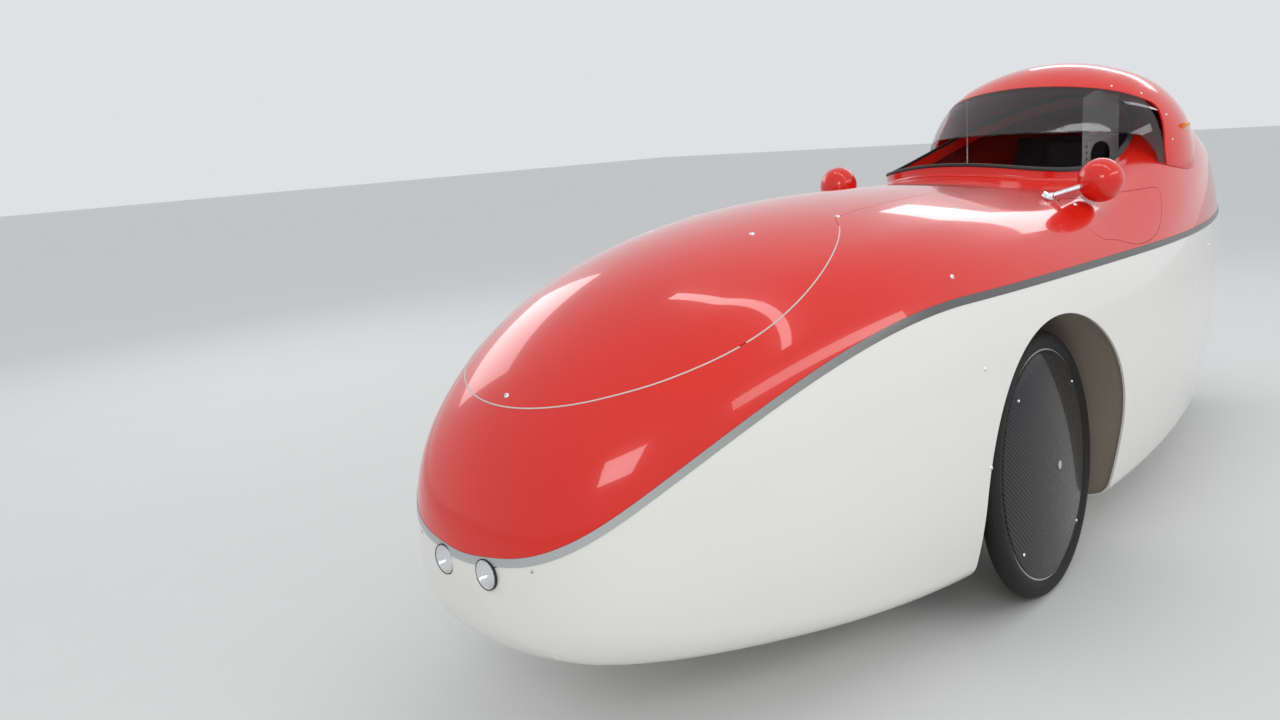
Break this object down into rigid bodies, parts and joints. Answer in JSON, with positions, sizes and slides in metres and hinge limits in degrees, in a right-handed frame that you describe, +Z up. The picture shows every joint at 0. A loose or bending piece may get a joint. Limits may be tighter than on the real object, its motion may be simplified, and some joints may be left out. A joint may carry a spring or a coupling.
{
  "type": "velomobile",
  "caption": "Fully faired recumbent tricycle: teardrop shell with a red upper and a white lower half, hinged hood with visor, two steered front wheels under arches and a rear wheel in the tail.",
  "frame": {"origin": "on the ground, at the bottom centre of the overall box", "axes": "+X forward towards the nose, +Y to the rider's left, +Z up"},
  "size_m": [2.77, 0.786, 0.9463],
  "materials": {
    "red_gelcoat": "polished gelcoat",
    "white_gelcoat": "polished gelcoat",
    "band_grey": "satin strip",
    "black_rubber": "matt",
    "smoked_visor": "smoked, glossy",
    "clear_sheet": "clear sheet",
    "clear_lens": "clear",
    "chrome": "bright",
    "mirror": "mirror",
    "amber_lens": "translucent",
    "red_lens": "translucent",
    "inner_laminate": "bare laminate",
    "steel": "ground rod",
    "aluminium": "satin",
    "black_metal": "black anodised",
    "tyre": "smooth tread",
    "carbon": "clear-coated carbon weave",
    "seat_mesh": "spacer mesh"
  },
  "bodies": {
    "body": {"lower_shell": "white_gelcoat", "upper_shell": "red_gelcoat", "seam_band": "band_grey", "nose_hatch": "red_gelcoat", "side_flap_left": "red_gelcoat", "side_flap_right": "red_gelcoat", "cockpit_coaming": "red_gelcoat", "coaming_trim": "black_rubber", "hood_hinge": "aluminium", "mirror_housing_left": "red_gelcoat", "mirror_housing_right": "red_gelcoat", "mirror_stalk_left": "chrome", "mirror_stalk_right": "chrome", "mirror_glass": "mirror", "headlamp_left": "chrome", "headlamp_right": "chrome", "headlamp_lenses": "clear_lens", "tail_lamp": "red_lens", "wheel_box_left": "inner_laminate", "wheel_box_right": "inner_laminate", "strut_rod_left": "steel", "strut_rod_right": "steel", "lower_arm_left": "aluminium", "lower_arm_right": "aluminium", "rear_swingarm": "aluminium", "seat_shell": "carbon", "seat_pad": "seat_mesh", "headrest": "seat_mesh", "tiller_socket": "aluminium"},
    "hood": {"hood_shell": "red_gelcoat", "visor": "smoked_visor", "visor_bracket_left": "clear_sheet", "visor_bracket_right": "clear_sheet", "indicators": "amber_lens"},
    "knuckle_left": {"knuckle_left": "black_metal"},
    "knuckle_right": {"knuckle_right": "black_metal"},
    "wheel_left": {"front_tyre_left": "tyre", "front_wheel_left": "aluminium", "wheel_disc_left": "carbon"},
    "wheel_right": {"front_tyre_right": "tyre", "front_wheel_right": "aluminium", "wheel_disc_right": "carbon"},
    "wheel_rear": {"rear_tyre": "tyre", "rear_wheel": "aluminium"},
    "tiller": {"tiller": "aluminium", "tiller_grips": "black_rubber"}
  },
  "joints": [
    {"name": "steer_left", "type": "hinge", "parent": "body", "child": "knuckle_left", "pos_m": [0.39603, 0.305, 0], "axis": [0, -0.1045, 0.9945], "range_deg": [-20, 8]},
    {"name": "steer_right", "type": "hinge", "parent": "body", "child": "knuckle_right", "pos_m": [0.39603, -0.305, 0], "axis": [0, 0.1045, 0.9945], "range_deg": [-20, 8]},
    {"name": "tiller_turn", "type": "hinge", "parent": "body", "child": "tiller", "pos_m": [0.33, 0, 0.12], "axis": [-0.6487, 0, 0.7611], "range_deg": [-30, 12]},
    {"name": "wheel_left_spin", "type": "hinge", "parent": "knuckle_left", "child": "wheel_left", "pos_m": [0.39, 0.338, 0.23447], "axis": [-0.1043, 0.9921, 0.0698], "continuous": true},
    {"name": "wheel_right_spin", "type": "hinge", "parent": "knuckle_right", "child": "wheel_right", "pos_m": [0.40205, -0.338, 0.23447], "axis": [-0.1043, 0.9921, -0.0698], "continuous": true},
    {"name": "wheel_rear_spin", "type": "hinge", "parent": "body", "child": "wheel_rear", "pos_m": [-0.86, 0, 0.31], "axis": [0, 1, 0], "continuous": true},
    {"name": "hood_lift", "type": "hinge", "parent": "body", "child": "hood", "pos_m": [-0.668, 0, 0.86], "axis": [0, -1, 0], "range_deg": [0, 75]}
  ],
  "couplings": [
    {"joint": "steer_right", "follows": "steer_left", "ratio": 1},
    {"joint": "tiller_turn", "follows": "steer_left", "ratio": 1.5}
  ]
}
